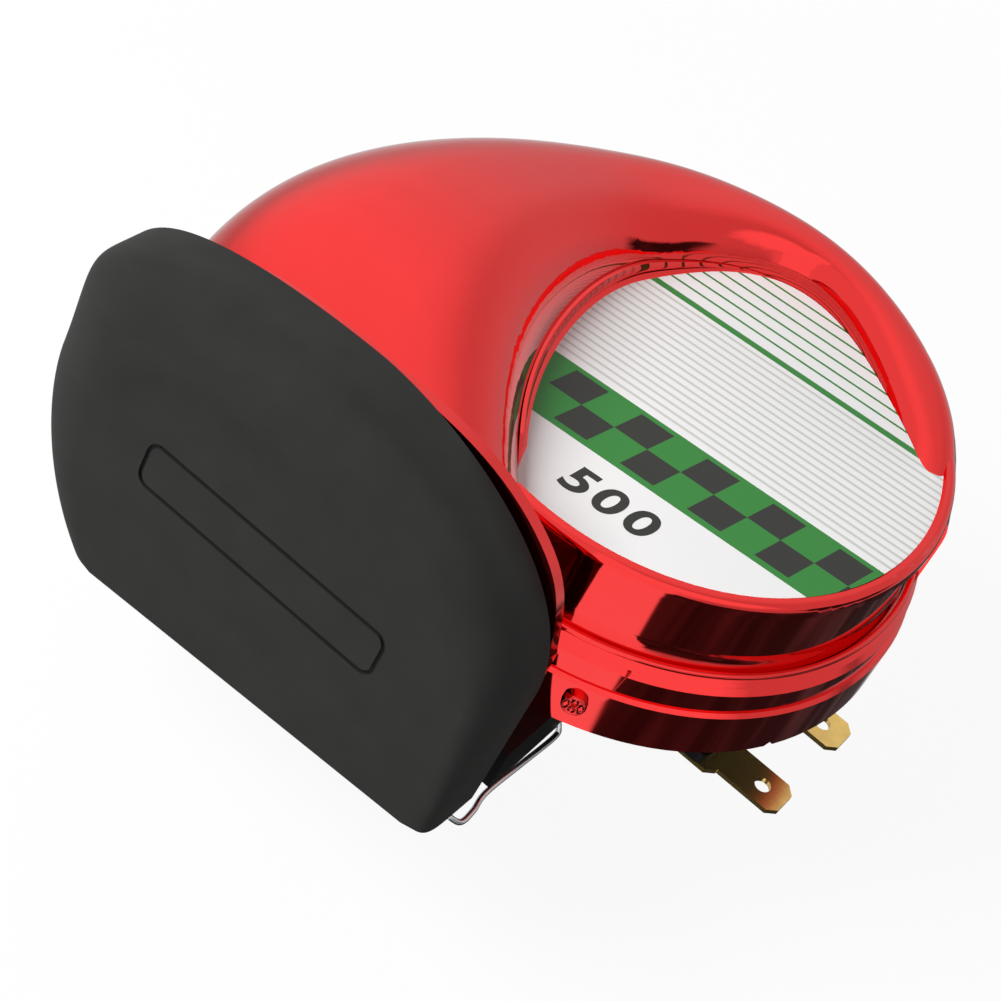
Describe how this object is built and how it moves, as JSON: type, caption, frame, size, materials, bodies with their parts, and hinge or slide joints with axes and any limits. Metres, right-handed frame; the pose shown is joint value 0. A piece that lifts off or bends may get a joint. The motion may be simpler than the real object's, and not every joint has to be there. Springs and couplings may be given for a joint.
{
  "type": "electric snail horn",
  "caption": "Electric snail horn with a spiral trumpet round a flat printed face, a rain cover over its mouth, spade terminals and a rear mounting stud.",
  "frame": {"origin": "centre of the mounting seat, the outer face of the core nut, on the stud's axis", "axes": "+Z along the stud's axis out of the printed face; +X along the long side of the mouth and along the terminals; the mouth faces -Y"},
  "size_m": [0.1009, 0.1021, 0.072],
  "materials": {
    "metallised_red": "red metallised lacquer, mirror-like with a slight satin",
    "black_plastic": "moulded black, fine satin",
    "black_rubber": "moulded black rubber, satin",
    "printed_film": "printed polyester film, semi-gloss",
    "gasket_fibre": "fibre gasket, matt",
    "spring_steel": "bright spring steel",
    "black_steel": "black electrocoated sheet steel",
    "zinc_steel": "bright zinc-plated steel",
    "tab_brass": "passivated yellow tab metal, satin",
    "coil_copper": "enamelled copper wire",
    "bobbin_nylon": "natural nylon",
    "brown_insulator": "brown laminated insulator",
    "contact_alloy": "bright contact alloy"
  },
  "bodies": {
    "horn": {"front_shell": "metallised_red", "rear_shell": "black_plastic", "mouth_cover": "black_rubber", "face_label": "printed_film", "gasket": "gasket_fibre", "diaphragm": "spring_steel", "driver_can": "black_steel", "core_stud": "zinc_steel", "core_washer": "zinc_steel", "core_nut": "zinc_steel", "coil_bobbin": "bobbin_nylon", "coil_winding": "coil_copper", "breaker_base": "brown_insulator", "breaker_spacer": "brown_insulator", "breaker_cap": "brown_insulator", "breaker_pillar": "zinc_steel", "fixed_arm": "spring_steel", "moving_arm": "spring_steel", "fixed_contact": "contact_alloy", "moving_contact": "contact_alloy", "adjusting_screw": "zinc_steel", "adjuster_nut": "zinc_steel", "terminal_carrier": "black_plastic", "terminal_left": "tab_brass", "terminal_right": "tab_brass", "terminal_rivet_left": "zinc_steel", "terminal_rivet_right": "zinc_steel", "terminal_washer_left": "brown_insulator", "terminal_washer_right": "brown_insulator", "driver_screw_1": "zinc_steel", "driver_screw_2": "zinc_steel", "driver_screw_3": "zinc_steel", "driver_screw_4": "zinc_steel", "driver_screw_5": "zinc_steel", "driver_screw_6": "zinc_steel"},
    "armature_group": {"armature": "zinc_steel", "armature_washer": "zinc_steel", "armature_nut": "zinc_steel"}
  },
  "joints": [
    {"name": "armature_stroke", "type": "slide", "parent": "horn", "child": "armature_group", "axis": [0, 0, 1], "range_m": [-0.00035, 0.00035], "stiffness_N_per_m": 2000, "deforming": ["diaphragm"]}
  ]
}
